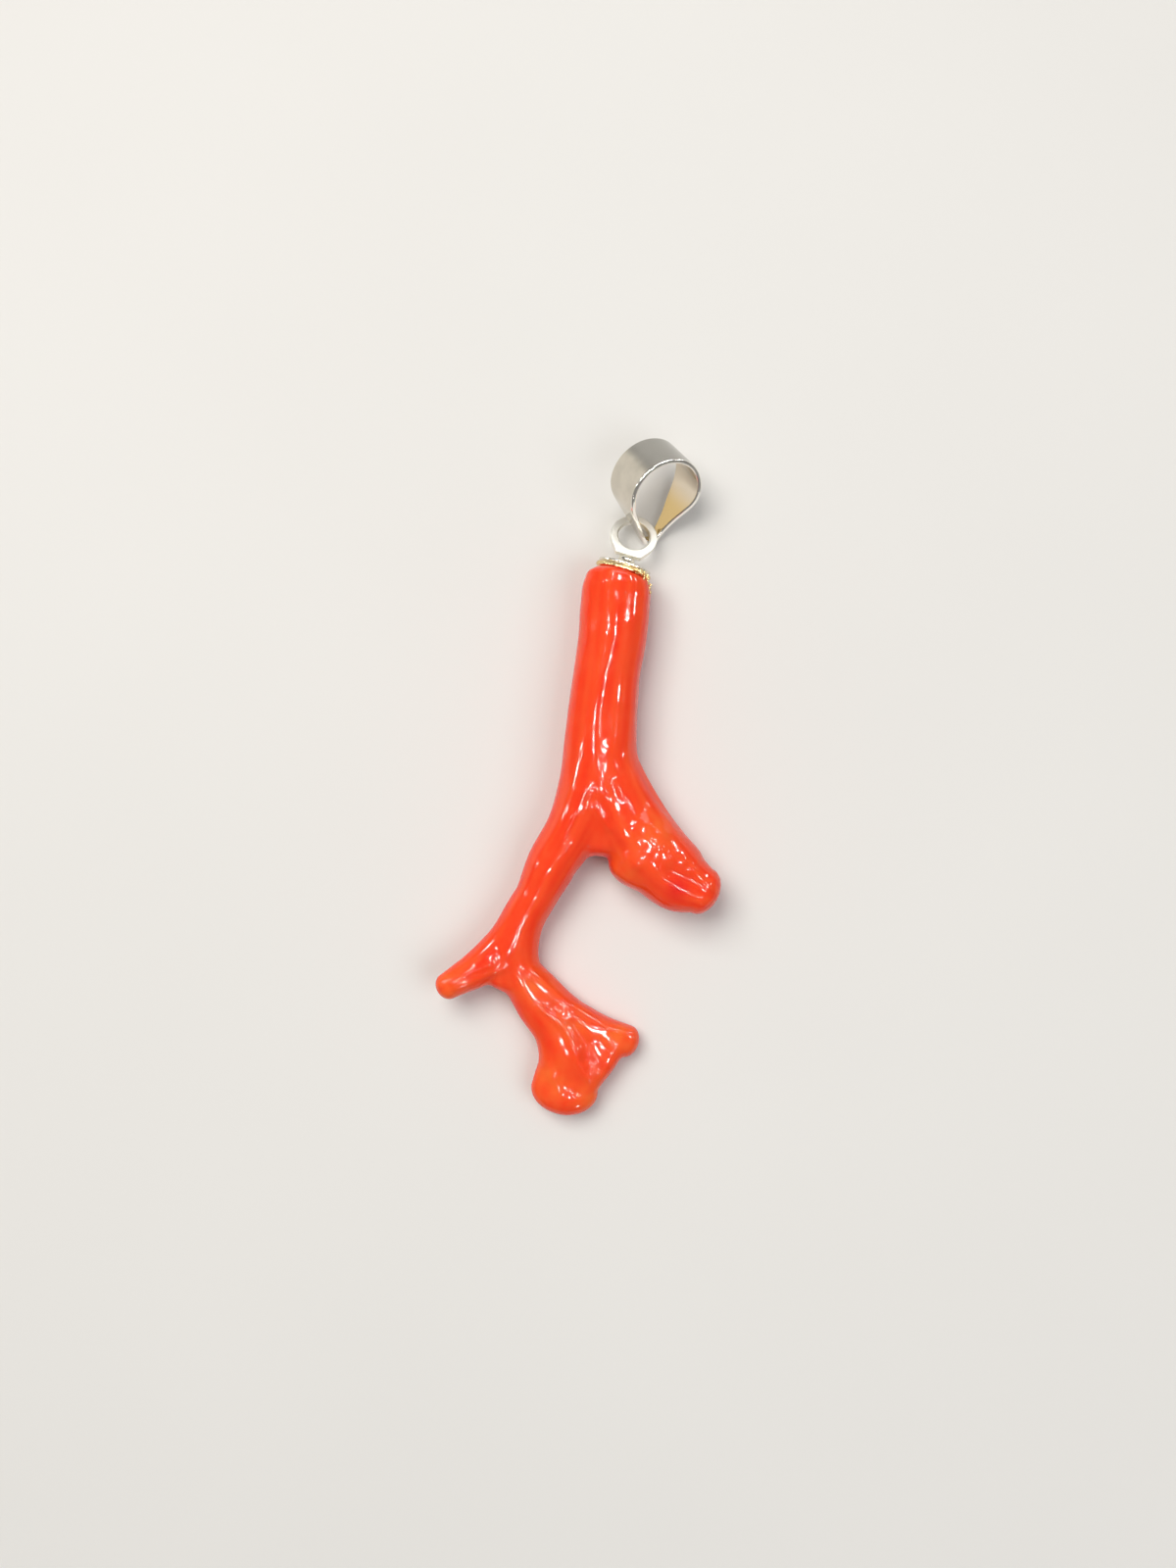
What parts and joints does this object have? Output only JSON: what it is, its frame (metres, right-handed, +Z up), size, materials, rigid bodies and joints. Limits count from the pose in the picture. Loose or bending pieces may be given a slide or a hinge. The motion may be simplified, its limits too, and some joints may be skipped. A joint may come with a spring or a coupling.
{
  "type": "coral branch pendant",
  "caption": "Polished red coral branch set as a pendant, with a silver cap, eye and tapered bail.",
  "frame": {"origin": "middle of the pendant's box, on the plane it lies on", "axes": "+Y along the branch towards the bail, +X to the side of the short branch, +Z up from the plane it lies on"},
  "size_m": [0.0244, 0.0576, 0.0077],
  "materials": {
    "coral": "polished gloss",
    "silver": "polished"
  },
  "bodies": {
    "pendant": {"stem": "coral", "short_branch": "coral", "long_branch": "coral", "side_twig": "coral", "fan_tip": "coral", "end_cap": "silver", "eye": "silver"},
    "bail": {"bail": "silver"}
  },
  "joints": [
    {"name": "bail_swing", "type": "hinge", "parent": "pendant", "child": "bail", "pos_m": [0.00587, 0.02176, 0.00161], "axis": [0.4415, -0.5853, 0.68], "range_deg": [-105, 10]}
  ]
}
